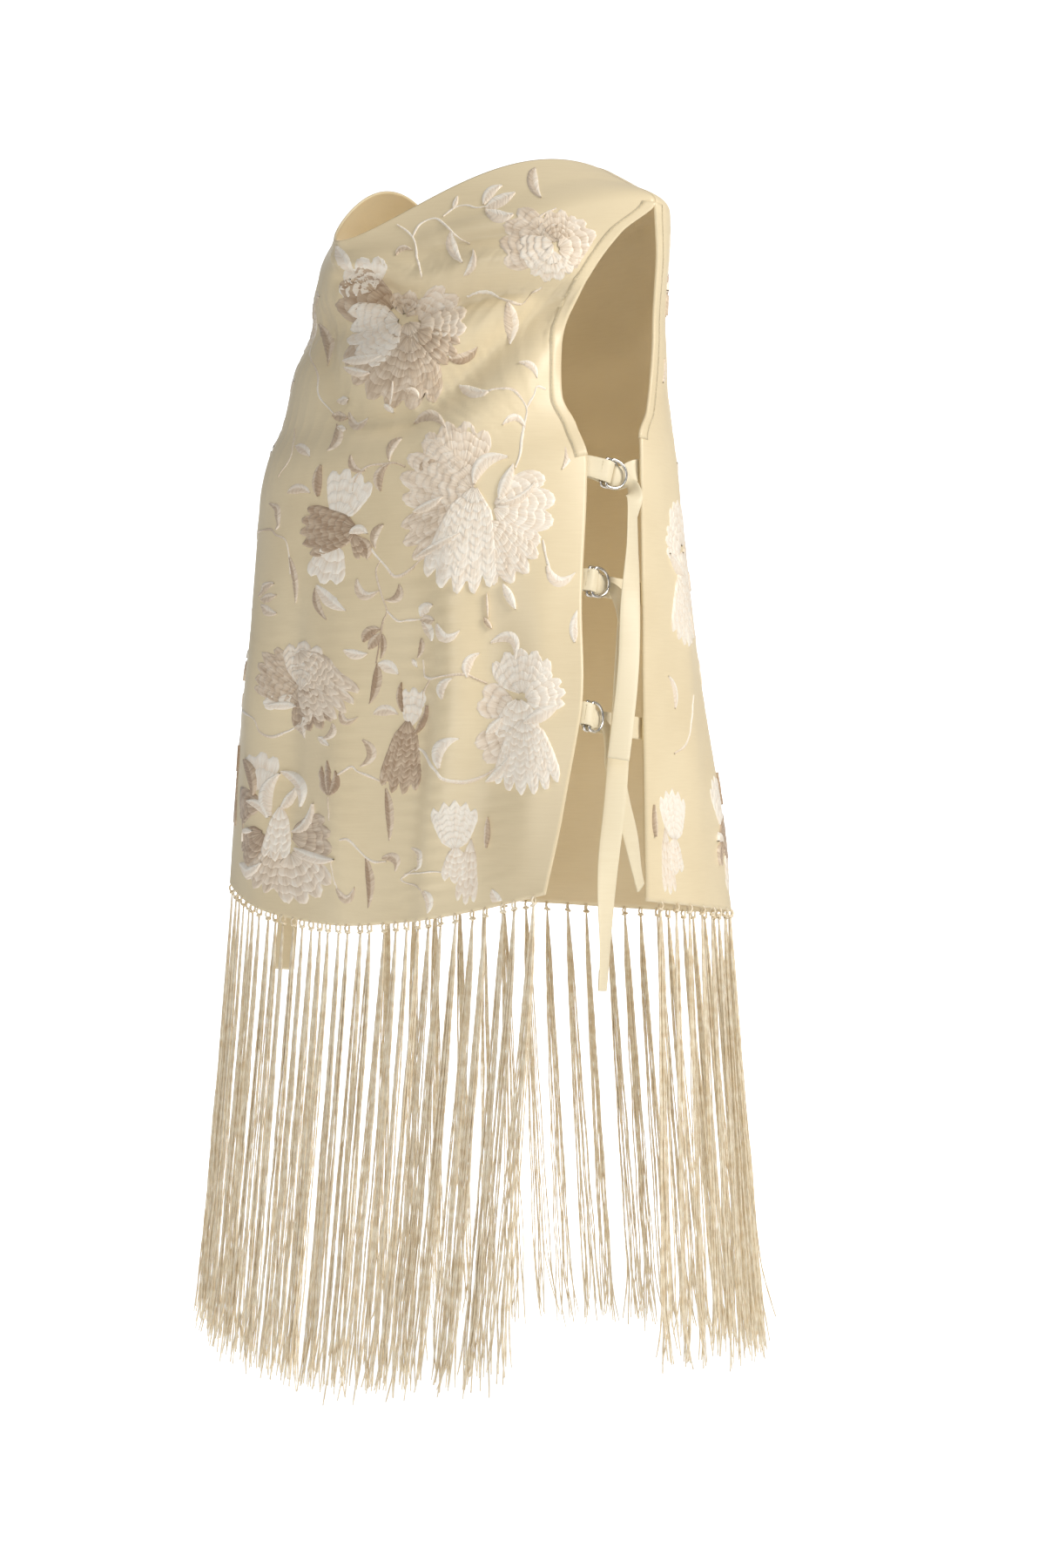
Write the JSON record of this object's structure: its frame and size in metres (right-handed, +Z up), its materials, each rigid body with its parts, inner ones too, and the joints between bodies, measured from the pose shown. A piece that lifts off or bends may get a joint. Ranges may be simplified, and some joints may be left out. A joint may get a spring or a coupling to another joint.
{
  "type": "satin top",
  "caption": "Sleeveless cream satin tabard top with a cowl neck, raised silk flowers, D-ring tape side fastenings and long knotted fringe at both hems.",
  "frame": {"origin": "midway between the two shoulder seams, at the middle of their height, where the wearer's shoulders carry the top", "axes": "+X to the wearer's left, +Y to the wearer's back, +Z up"},
  "size_m": [0.4146, 0.3728, 0.8501],
  "materials": {
    "satin": "ivory silk satin with a soft sheen and tonal raised embroidery",
    "tape": "ivory satin tape",
    "thread": "lustrous champagne viscose thread",
    "steel": "polished nickel-plated wire"
  },
  "bodies": {
    "root": {"front_panel": "satin", "back_panel": "satin", "binding_left": "satin", "binding_right": "satin", "tab_left_upper": "tape", "tab_left_middle": "tape", "tab_left_lower": "tape", "tab_right_upper": "tape", "tab_right_middle": "tape", "tab_right_lower": "tape", "strap_left_upper": "tape", "strap_left_middle": "tape", "strap_left_lower": "tape", "strap_right_upper": "tape", "strap_right_middle": "tape", "strap_right_lower": "tape", "ring_left_upper_outer": "steel", "ring_left_upper_inner": "steel", "ring_left_middle_outer": "steel", "ring_left_middle_inner": "steel", "ring_left_lower_outer": "steel", "ring_left_lower_inner": "steel", "ring_right_upper_outer": "steel", "ring_right_upper_inner": "steel", "ring_right_middle_outer": "steel", "ring_right_middle_inner": "steel", "ring_right_lower_outer": "steel", "ring_right_lower_inner": "steel", "fringe_front": "thread", "fringe_back": "thread"}
  },
  "joints": []
}
